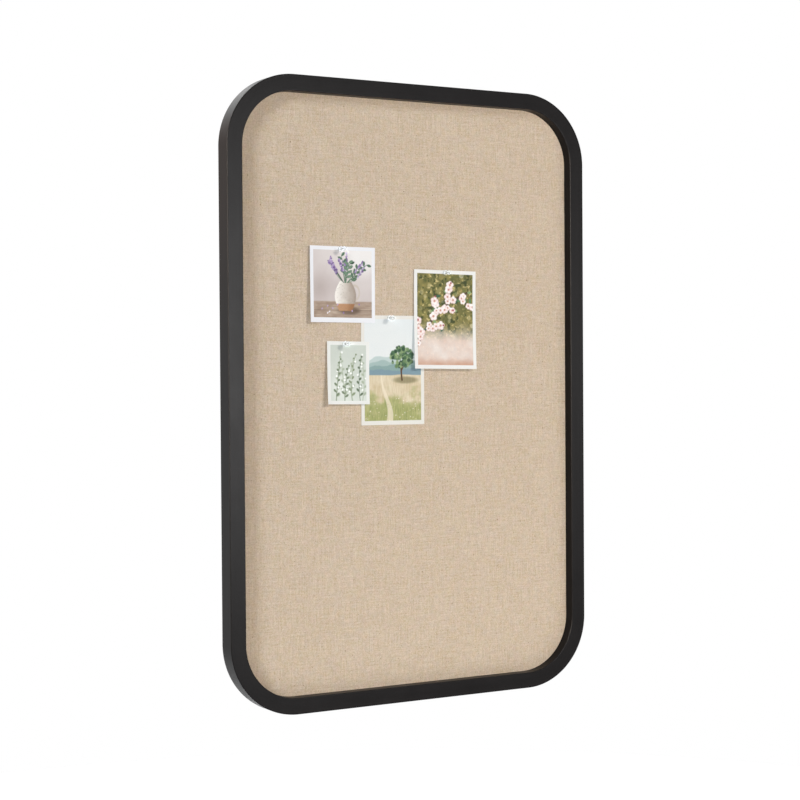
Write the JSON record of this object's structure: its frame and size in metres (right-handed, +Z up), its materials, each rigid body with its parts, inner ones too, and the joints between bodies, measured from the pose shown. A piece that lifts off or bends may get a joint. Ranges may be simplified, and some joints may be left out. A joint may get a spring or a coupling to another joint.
{
  "type": "linen pin board",
  "caption": "Tall wall-hung pin board: natural linen over a soft core, sunk in a deep black wooden frame with large rounded corners, holding prints on clear push pins.",
  "frame": {"origin": "on the wall plane, behind the centre of the board", "axes": "+X to the viewer's right, +Y into the wall, +Z up; the front faces -Y"},
  "size_m": [0.6096, 0.035, 0.9144],
  "materials": {
    "frame_paint": "satin black paint",
    "beech": "bare",
    "linen": "plain weave with slubs",
    "fibre_board": "soft, matt",
    "hardboard": "smooth pressed",
    "zinc_steel": "bright zinc",
    "bumper_rubber": "matt",
    "clear_plastic": "clear, polished",
    "photo_paper": "satin"
  },
  "bodies": {
    "board": {"upper_left_corner": "frame_paint", "upper_right_corner": "frame_paint", "lower_right_corner": "frame_paint", "lower_left_corner": "frame_paint", "top_rail": "frame_paint", "right_rail": "frame_paint", "bottom_rail": "frame_paint", "left_rail": "frame_paint", "tenon_top_left": "beech", "tenon_top_right": "beech", "tenon_right_upper": "beech", "tenon_right_lower": "beech", "tenon_bottom_right": "beech", "tenon_bottom_left": "beech", "tenon_left_lower": "beech", "tenon_left_upper": "beech", "linen_cover": "linen", "fibre_core": "fibre_board", "backing_board": "hardboard", "button_screw_left_upper": "zinc_steel", "button_screw_left_lower": "zinc_steel", "button_screw_right_upper": "zinc_steel", "button_screw_right_lower": "zinc_steel", "button_screw_top": "zinc_steel", "button_screw_bottom": "zinc_steel", "hanger_strap_left": "zinc_steel", "hanger_strap_right": "zinc_steel", "hanger_screw_left_upper": "zinc_steel", "hanger_screw_left_lower": "zinc_steel", "hanger_screw_right_upper": "zinc_steel", "hanger_screw_right_lower": "zinc_steel", "bumper_upper_left": "bumper_rubber", "bumper_upper_right": "bumper_rubber", "bumper_lower_right": "bumper_rubber", "bumper_lower_left": "bumper_rubber"},
    "left_upper_button": {"turn_button_left_upper": "zinc_steel"},
    "left_lower_button": {"turn_button_left_lower": "zinc_steel"},
    "right_upper_button": {"turn_button_right_upper": "zinc_steel"},
    "right_lower_button": {"turn_button_right_lower": "zinc_steel"},
    "top_button": {"turn_button_top": "zinc_steel"},
    "bottom_button": {"turn_button_bottom": "zinc_steel"},
    "left_ring": {"d_ring_left": "zinc_steel"},
    "right_ring": {"d_ring_right": "zinc_steel"},
    "upper_left_pin": {"pin_grip_upper_left": "clear_plastic", "pin_needle_upper_left": "zinc_steel"},
    "right_pin": {"pin_grip_right": "clear_plastic", "pin_needle_right": "zinc_steel"},
    "small_pin": {"pin_grip_small": "clear_plastic", "pin_needle_small": "zinc_steel"},
    "tall_pin": {"pin_grip_tall": "clear_plastic", "pin_needle_tall": "zinc_steel"},
    "upper_left_print": {"print_upper_left": "photo_paper"},
    "right_print": {"print_right": "photo_paper"},
    "small_print": {"print_small": "photo_paper"},
    "tall_print": {"print_tall": "photo_paper"}
  },
  "joints": [
    {"name": "left_upper_button_turn", "type": "hinge", "parent": "board", "child": "left_upper_button", "pos_m": [-0.2964, -0.005, 0.1472], "axis": [0, 1, 0], "range_deg": [-90, 90]},
    {"name": "left_lower_button_turn", "type": "hinge", "parent": "board", "child": "left_lower_button", "pos_m": [-0.2964, -0.005, -0.1472], "axis": [0, 1, 0], "range_deg": [-90, 90]},
    {"name": "right_upper_button_turn", "type": "hinge", "parent": "board", "child": "right_upper_button", "pos_m": [0.2964, -0.005, 0.1472], "axis": [0, 1, 0], "range_deg": [-90, 90]},
    {"name": "right_lower_button_turn", "type": "hinge", "parent": "board", "child": "right_lower_button", "pos_m": [0.2964, -0.005, -0.1472], "axis": [0, 1, 0], "range_deg": [-90, 90]},
    {"name": "top_button_turn", "type": "hinge", "parent": "board", "child": "top_button", "pos_m": [0, -0.005, 0.4488], "axis": [0, 1, 0], "range_deg": [-90, 90]},
    {"name": "bottom_button_turn", "type": "hinge", "parent": "board", "child": "bottom_button", "pos_m": [0, -0.005, -0.4488], "axis": [0, 1, 0], "range_deg": [-90, 90]},
    {"name": "left_ring_swing", "type": "hinge", "parent": "board", "child": "left_ring", "pos_m": [-0.2948, -0.0028, 0.2572], "axis": [-1, 0, 0], "range_deg": [0, 150]},
    {"name": "right_ring_swing", "type": "hinge", "parent": "board", "child": "right_ring", "pos_m": [0.2948, -0.0028, 0.2572], "axis": [-1, 0, 0], "range_deg": [0, 150]},
    {"name": "upper_left_pin_pull", "type": "slide", "parent": "board", "child": "upper_left_pin", "axis": [0, -1, 0], "range_m": [0, 0.014]},
    {"name": "right_pin_pull", "type": "slide", "parent": "board", "child": "right_pin", "axis": [0, -1, 0], "range_m": [0, 0.014]},
    {"name": "small_pin_pull", "type": "slide", "parent": "board", "child": "small_pin", "axis": [0, -1, 0], "range_m": [0, 0.014]},
    {"name": "tall_pin_pull", "type": "slide", "parent": "board", "child": "tall_pin", "axis": [0, -1, 0], "range_m": [0, 0.014]},
    {"name": "upper_left_print_swing", "type": "hinge", "parent": "board", "child": "upper_left_print", "pos_m": [-0.1173, -0.019, 0.2118], "axis": [0, 1, 0], "range_deg": [-15, 15]},
    {"name": "right_print_swing", "type": "hinge", "parent": "board", "child": "right_print", "pos_m": [0.0611, -0.019, 0.1807], "axis": [0, 1, 0], "range_deg": [-15, 15]},
    {"name": "small_print_swing", "type": "hinge", "parent": "board", "child": "small_print", "pos_m": [-0.1115, -0.019, 0.0738], "axis": [0, 1, 0], "range_deg": [-15, 15]},
    {"name": "tall_print_swing", "type": "hinge", "parent": "board", "child": "tall_print", "pos_m": [-0.0357, -0.0187, 0.112], "axis": [0, 1, 0], "range_deg": [-15, 15]}
  ]
}
